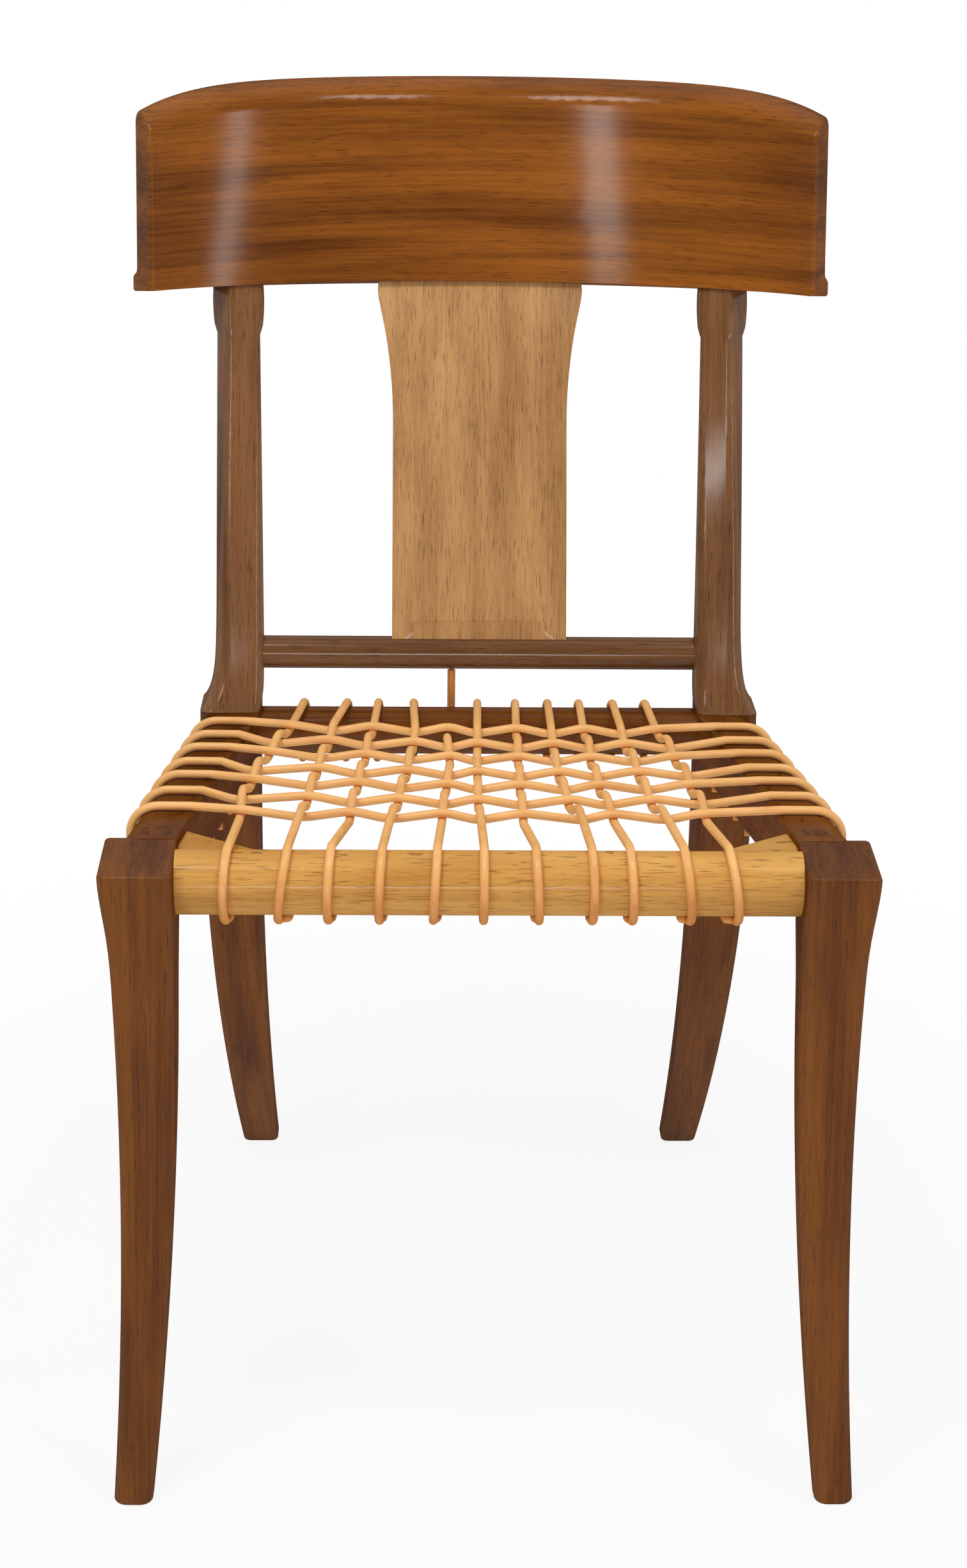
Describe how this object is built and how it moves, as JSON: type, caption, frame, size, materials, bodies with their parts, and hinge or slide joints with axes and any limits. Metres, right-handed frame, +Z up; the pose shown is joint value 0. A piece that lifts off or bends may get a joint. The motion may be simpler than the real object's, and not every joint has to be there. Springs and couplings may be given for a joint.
{
  "type": "klismos dining chair",
  "caption": "Klismos chair with sabre legs, a deep curved crest rail on slim posts and a splat, and an open woven seat of leather cord.",
  "frame": {"origin": "on the floor, in the middle of the chair's width and depth", "axes": "+Z up, the chair faces -Y, +X to the right as seen from in front of it"},
  "size_m": [0.5236, 0.6278, 0.891],
  "materials": {
    "crest_wood": "glossy lacquered red-brown walnut",
    "frame_wood": "glossy lacquered dark brown walnut",
    "rail_wood": "glossy lacquered golden brown walnut",
    "dowel_wood": "plain beech, inside the joints",
    "leather_cord": "smooth tan leather cord, a little worn"
  },
  "bodies": {
    "root": {"back_post_left": "frame_wood", "back_post_right": "frame_wood", "back_splat": "rail_wood", "crest_dowels": "dowel_wood", "crest_rail": "crest_wood", "front_leg_left": "frame_wood", "front_leg_right": "frame_wood", "front_rail_dowels": "dowel_wood", "front_seat_rail": "rail_wood", "lower_back_rod": "rail_wood", "post_foot_dowels": "dowel_wood", "rear_leg_left": "frame_wood", "rear_leg_right": "frame_wood", "rear_rail_dowels": "dowel_wood", "rear_seat_rail": "rail_wood", "seat_warp_01": "leather_cord", "seat_warp_02": "leather_cord", "seat_warp_03": "leather_cord", "seat_warp_04": "leather_cord", "seat_warp_05": "leather_cord", "seat_warp_06": "leather_cord", "seat_warp_07": "leather_cord", "seat_warp_08": "leather_cord", "seat_warp_09": "leather_cord", "seat_warp_10": "leather_cord", "seat_warp_11": "leather_cord", "seat_weft_01": "leather_cord", "seat_weft_02": "leather_cord", "seat_weft_03": "leather_cord", "seat_weft_04": "leather_cord", "seat_weft_05": "leather_cord", "seat_weft_06": "leather_cord", "seat_weft_07": "leather_cord", "side_rail_dowels": "dowel_wood", "side_seat_rail_left": "rail_wood", "side_seat_rail_right": "rail_wood"}
  },
  "joints": []
}
